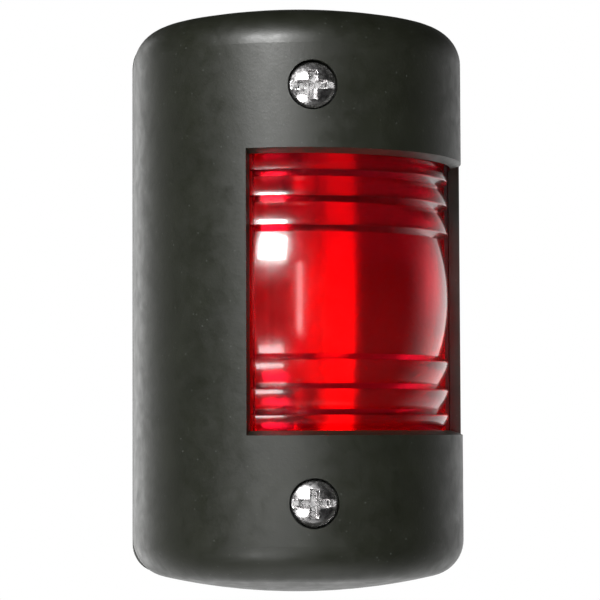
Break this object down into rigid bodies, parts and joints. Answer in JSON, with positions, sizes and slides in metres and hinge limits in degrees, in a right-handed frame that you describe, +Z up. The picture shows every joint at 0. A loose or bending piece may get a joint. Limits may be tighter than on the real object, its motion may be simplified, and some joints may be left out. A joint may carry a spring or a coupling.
{
  "type": "navigation light",
  "caption": "Wall-mounted boat sidelight: half-round black housing with a sector window, a red ribbed drum lens, two front screws, and a removable cover over a festoon bulb.",
  "frame": {"origin": "centre of the flat mounting face, at the back of the foam gasket", "axes": "+Z up along the light's height, +Y out of the mounting face into the wall, so the rounded front looks along -Y and +X is to the viewer's right"},
  "size_m": [0.06, 0.0422, 0.105],
  "materials": {
    "housing_plastic": "satin",
    "base_plastic": "satin",
    "foam": "matt",
    "seal_rubber": "matt",
    "red_lens": "polished",
    "carrier_plastic": "satin",
    "brass": "machined",
    "zinc_steel": "zinc plated",
    "spring_metal": "rolled",
    "polished_steel": "polished",
    "bulb_glass": "clear",
    "nickel_cap": "bright",
    "filament_wire": "drawn"
  },
  "bodies": {
    "base": {"base_plate": "base_plastic", "mounting_gasket": "foam", "cover_seal": "seal_rubber", "cable_grommet": "seal_rubber", "threaded_inserts": "brass", "lamp_carrier": "carrier_plastic", "carrier_screws": "zinc_steel", "terminal_nuts": "brass", "upper_contact": "spring_metal", "lower_contact": "spring_metal"},
    "cover": {"housing_cover": "housing_plastic", "fresnel_lens": "red_lens", "lens_seal": "seal_rubber", "lens_clips": "spring_metal", "lens_clip_screws": "zinc_steel"},
    "bulb": {"bulb_glass": "bulb_glass", "bulb_caps": "nickel_cap", "bulb_filament": "filament_wire", "filament_supports": "filament_wire"},
    "upper_washer": {"upper_seal_washer": "seal_rubber"},
    "upper_screw": {"upper_cover_screw": "polished_steel", "upper_retaining_clip": "spring_metal"},
    "lower_washer": {"lower_seal_washer": "seal_rubber"},
    "lower_screw": {"lower_cover_screw": "polished_steel", "lower_retaining_clip": "spring_metal"},
    "upper_clamp": {"upper_wire_clamp": "spring_metal"},
    "upper_terminal": {"upper_terminal_screw": "brass"},
    "lower_clamp": {"lower_wire_clamp": "spring_metal"},
    "lower_terminal": {"lower_terminal_screw": "brass"}
  },
  "joints": [
    {"name": "cover_pull", "type": "slide", "parent": "base", "child": "cover", "axis": [0, -1, 0], "range_m": [0, 0.06]},
    {"name": "bulb_pull", "type": "slide", "parent": "base", "child": "bulb", "axis": [0, -1, 0], "range_m": [0, 0.012]},
    {"name": "upper_screw_advance", "type": "slide", "parent": "cover", "child": "upper_washer", "axis": [0, -1, 0], "range_m": [0, 0.006]},
    {"name": "upper_screw_turn", "type": "hinge", "parent": "upper_washer", "child": "upper_screw", "pos_m": [0, -0.03, 0.036], "axis": [0, -1, 0], "range_deg": [0, 3086.71]},
    {"name": "lower_screw_advance", "type": "slide", "parent": "cover", "child": "lower_washer", "axis": [0, -1, 0], "range_m": [0, 0.006]},
    {"name": "lower_screw_turn", "type": "hinge", "parent": "lower_washer", "child": "lower_screw", "pos_m": [0, -0.03, -0.036], "axis": [0, -1, 0], "range_deg": [0, 3086.71]},
    {"name": "upper_clamp_lift", "type": "slide", "parent": "base", "child": "upper_clamp", "axis": [0, -1, 0], "range_m": [0, 0.0025]},
    {"name": "upper_terminal_turn", "type": "hinge", "parent": "upper_clamp", "child": "upper_terminal", "pos_m": [0, -0.01, 0.0274], "axis": [0, -1, 0], "range_deg": [0, 1801]},
    {"name": "lower_clamp_lift", "type": "slide", "parent": "base", "child": "lower_clamp", "axis": [0, -1, 0], "range_m": [0, 0.0025]},
    {"name": "lower_terminal_turn", "type": "hinge", "parent": "lower_clamp", "child": "lower_terminal", "pos_m": [0, -0.01, -0.0266], "axis": [0, -1, 0], "range_deg": [0, 1801]}
  ],
  "couplings": [
    {"joint": "upper_screw_turn", "follows": "upper_screw_advance", "rad_per_m": 8976},
    {"joint": "lower_screw_turn", "follows": "lower_screw_advance", "rad_per_m": 8976},
    {"joint": "upper_terminal_turn", "follows": "upper_clamp_lift", "rad_per_m": 12566},
    {"joint": "lower_terminal_turn", "follows": "lower_clamp_lift", "rad_per_m": 12566}
  ]
}
